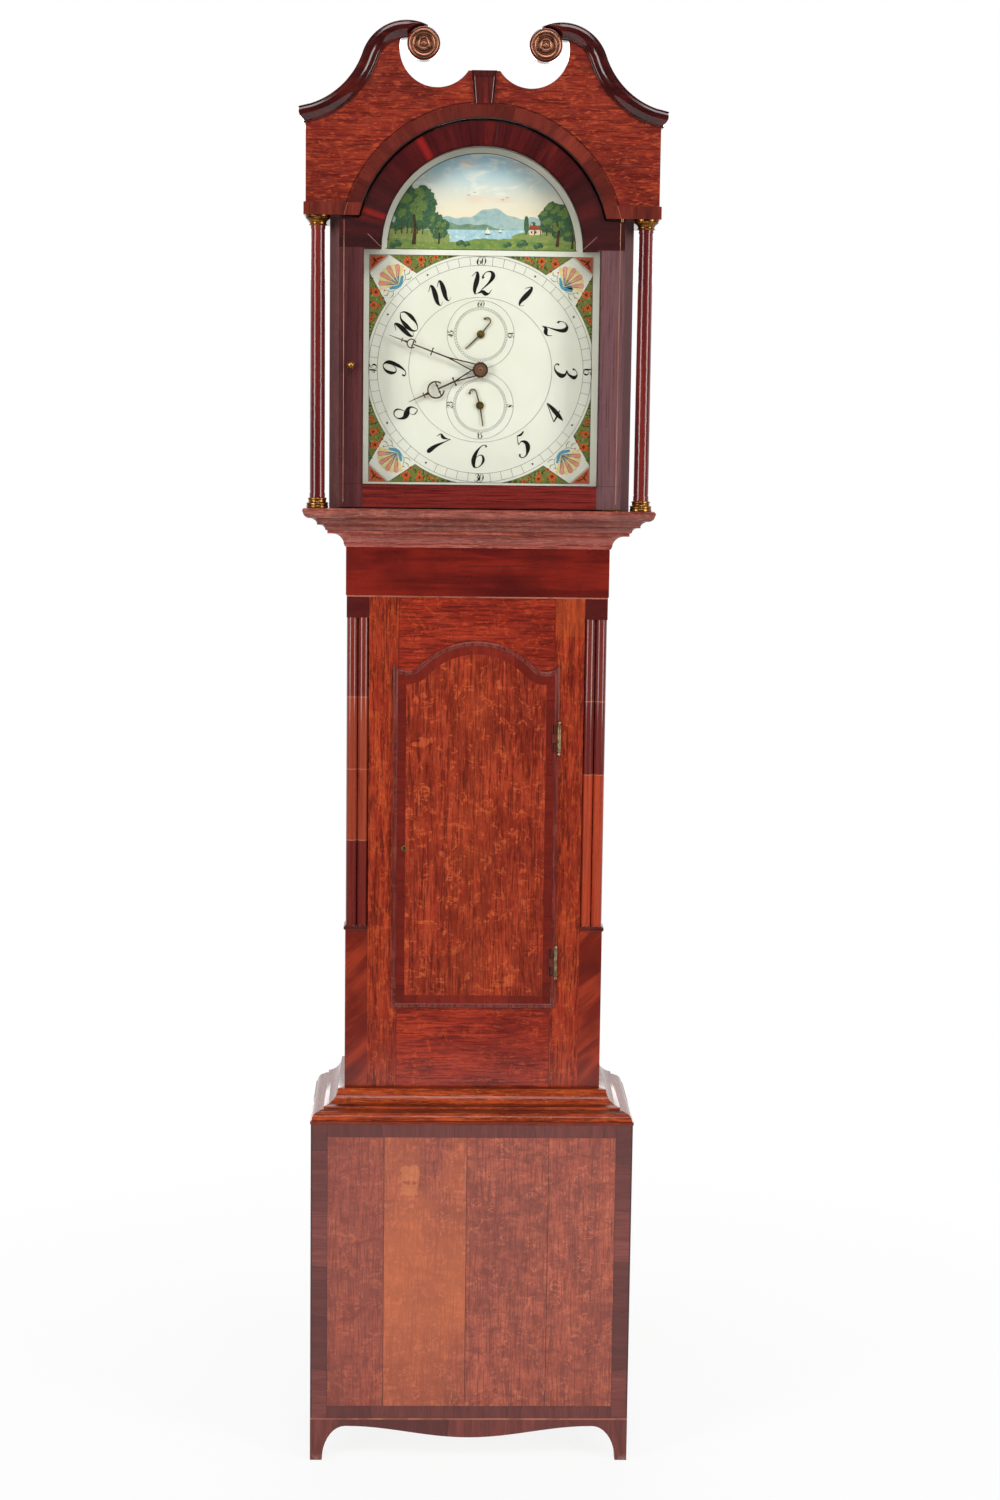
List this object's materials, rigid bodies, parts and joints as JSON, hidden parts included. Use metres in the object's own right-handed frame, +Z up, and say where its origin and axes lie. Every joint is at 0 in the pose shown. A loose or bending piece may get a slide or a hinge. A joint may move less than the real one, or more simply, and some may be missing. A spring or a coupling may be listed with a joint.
{
  "type": "longcase clock",
  "caption": "Tall oak and mahogany longcase clock with a swan-neck hood, arched painted dial and a chain-driven striking movement.",
  "frame": {"origin": "on the floor, under the middle of the whole clock's box", "axes": "+X to the viewer's right, -Y towards the viewer (front), +Z up"},
  "size_m": [0.537, 0.261, 2.1873],
  "materials": {
    "pine": "plain",
    "oak": "polished",
    "mahogany": "polished",
    "dark_mahogany": "polished",
    "boxwood": "polished",
    "brass": "polished",
    "steel": "satin",
    "iron": "dull",
    "bell_metal": "satin",
    "glass": "clear",
    "dial_paint": "satin",
    "grey_mask": "matt"
  },
  "bodies": {
    "case": {"pine_carcass": "pine", "base_sides": "oak", "base_front": "oak", "base_crossbanding": "mahogany", "boxwood_stringing": "boxwood", "bracket_apron": "mahogany", "base_moulding": "oak", "trunk_sides": "oak", "trunk_front_frame": "oak", "corner_columns": "mahogany", "corner_blocks": "mahogany", "frieze": "mahogany", "throat_moulding": "oak", "seatboard": "pine", "frame_hinge_leaves": "brass", "movement_frame": "brass", "dial_plate": "dial_paint", "bell": "bell_metal", "weight_chain": "steel", "ring_chain": "steel"},
    "trunk_door_leaf": {"trunk_door": "oak", "trunk_door_banding": "mahogany", "trunk_door_moulding": "mahogany", "door_hinge_leaves": "brass", "trunk_lock": "iron"},
    "bolt": {"lock_bolt": "steel"},
    "hood": {"hood_base": "oak", "hood_sides": "oak", "tympanum": "oak", "tympanum_banding": "mahogany", "keystone": "mahogany", "swan_neck_cornice": "dark_mahogany", "rosettes": "brass", "hood_columns": "dark_mahogany", "column_mounts": "brass", "hood_roof": "pine", "dial_mask": "grey_mask"},
    "glazed_door": {"hood_door_frame": "dark_mahogany", "hood_door_glass": "glass", "hood_door_fittings": "brass"},
    "minute_arbor": {"centre_wheel": "brass", "minute_hand": "brass"},
    "hour_pipe": {"hour_wheel": "brass", "hour_hand": "brass"},
    "minute_wheel_body": {"minute_wheel": "brass"},
    "going_great_body": {"going_great_wheel": "brass"},
    "third_body": {"third_wheel": "brass"},
    "seconds_arbor": {"escape_wheel": "brass", "seconds_hand": "brass"},
    "calendar_arbor": {"calendar_wheel": "brass", "calendar_hand": "brass"},
    "anchor": {"pallet_anchor": "steel"},
    "pendulum_body": {"pendulum": "steel"},
    "strike_great_body": {"strike_great_wheel": "brass"},
    "hoop_body": {"strike_hoop_wheel": "brass"},
    "warning_body": {"strike_warning_wheel": "brass"},
    "fly_body": {"strike_fly": "brass"},
    "hammer": {"bell_hammer": "steel"},
    "weight": {"drive_weight": "iron"},
    "ring": {"counter_ring": "iron"}
  },
  "joints": [
    {"name": "hood_slide", "type": "slide", "parent": "case", "child": "hood", "axis": [0, -1, 0], "range_m": [0, 0.26]},
    {"name": "hood_door_hinge", "type": "hinge", "parent": "hood", "child": "glazed_door", "pos_m": [0.205, -0.105, 1.7], "axis": [0, 0, 1], "range_deg": [0, 95]},
    {"name": "trunk_door_hinge", "type": "hinge", "parent": "case", "child": "trunk_door_leaf", "pos_m": [0.127, -0.057, 0.96], "axis": [0, 0, 1], "range_deg": [0, 100]},
    {"name": "lock_bolt_slide", "type": "slide", "parent": "trunk_door_leaf", "child": "bolt", "axis": [-1, 0, 0], "range_m": [0, 0.006]},
    {"name": "minute_arbor_spin", "type": "hinge", "parent": "case", "child": "minute_arbor", "pos_m": [0, 0.0035, 1.6903], "axis": [0, 1, 0], "continuous": true},
    {"name": "hour_spin", "type": "hinge", "parent": "case", "child": "hour_pipe", "pos_m": [0, -0.0455, 1.6903], "axis": [0, 1, 0], "continuous": true},
    {"name": "minute_wheel_spin", "type": "hinge", "parent": "case", "child": "minute_wheel_body", "pos_m": [-0.036, -0.0405, 1.6903], "axis": [0, 1, 0], "continuous": true},
    {"name": "going_great_spin", "type": "hinge", "parent": "case", "child": "going_great_body", "pos_m": [0.034, 0.0175, 1.67378], "axis": [0, 1, 0], "continuous": true},
    {"name": "third_spin", "type": "hinge", "parent": "case", "child": "third_body", "pos_m": [0.01404, 0.0235, 1.7195], "axis": [0, 1, 0], "continuous": true},
    {"name": "seconds_spin", "type": "hinge", "parent": "case", "child": "seconds_arbor", "pos_m": [0, 0.0125, 1.7428], "axis": [0, 1, 0], "continuous": true},
    {"name": "calendar_spin", "type": "hinge", "parent": "case", "child": "calendar_arbor", "pos_m": [0, -0.0515, 1.6378], "axis": [0, 1, 0], "continuous": true},
    {"name": "pendulum_swing", "type": "hinge", "parent": "case", "child": "pendulum_body", "pos_m": [0, 0.0565, 1.77391], "axis": [0, 1, 0], "range_deg": [-2.5, 2.5]},
    {"name": "anchor_swing", "type": "hinge", "parent": "case", "child": "anchor", "pos_m": [0, 0.0125, 1.77391], "axis": [0, 1, 0], "range_deg": [-2.5, 2.5]},
    {"name": "strike_great_spin", "type": "hinge", "parent": "case", "child": "strike_great_body", "pos_m": [-0.034, -0.0065, 1.67378], "axis": [0, 1, 0], "continuous": true},
    {"name": "hoop_spin", "type": "hinge", "parent": "case", "child": "hoop_body", "pos_m": [-0.034, -0.0005, 1.70978], "axis": [0, 1, 0], "continuous": true},
    {"name": "warning_spin", "type": "hinge", "parent": "case", "child": "warning_body", "pos_m": [-0.02956, -0.0115, 1.73499], "axis": [0, 1, 0], "continuous": true},
    {"name": "fly_spin", "type": "hinge", "parent": "case", "child": "fly_body", "pos_m": [-0.04317, -0.0115, 1.7486], "axis": [0, 1, 0], "continuous": true},
    {"name": "hammer_hinge", "type": "hinge", "parent": "case", "child": "hammer", "pos_m": [-0.061, -0.0055, 1.71078], "axis": [0, 1, 0], "range_deg": [-10, 1]},
    {"name": "weight_slide", "type": "slide", "parent": "case", "child": "weight", "axis": [0, 0, 1], "range_m": [-0.28, 0.25], "deforming": ["weight_chain"]},
    {"name": "counter_ring_slide", "type": "slide", "parent": "case", "child": "ring", "axis": [0, 0, 1], "range_m": [-0.25, 0.28], "deforming": ["ring_chain"]}
  ],
  "couplings": [
    {"joint": "hour_spin", "follows": "minute_arbor_spin", "ratio": 0.083333},
    {"joint": "minute_wheel_spin", "follows": "minute_arbor_spin", "ratio": -1},
    {"joint": "going_great_spin", "follows": "minute_arbor_spin", "ratio": -0.16667},
    {"joint": "third_spin", "follows": "minute_arbor_spin", "ratio": -8},
    {"joint": "seconds_spin", "follows": "minute_arbor_spin", "ratio": 60},
    {"joint": "calendar_spin", "follows": "minute_arbor_spin", "ratio": 0.0013441},
    {"joint": "anchor_swing", "follows": "pendulum_swing", "ratio": 1},
    {"joint": "hoop_spin", "follows": "strike_great_spin", "ratio": -9},
    {"joint": "warning_spin", "follows": "strike_great_spin", "ratio": 63},
    {"joint": "fly_spin", "follows": "strike_great_spin", "ratio": -432},
    {"joint": "counter_ring_slide", "follows": "weight_slide", "ratio": -1}
  ]
}
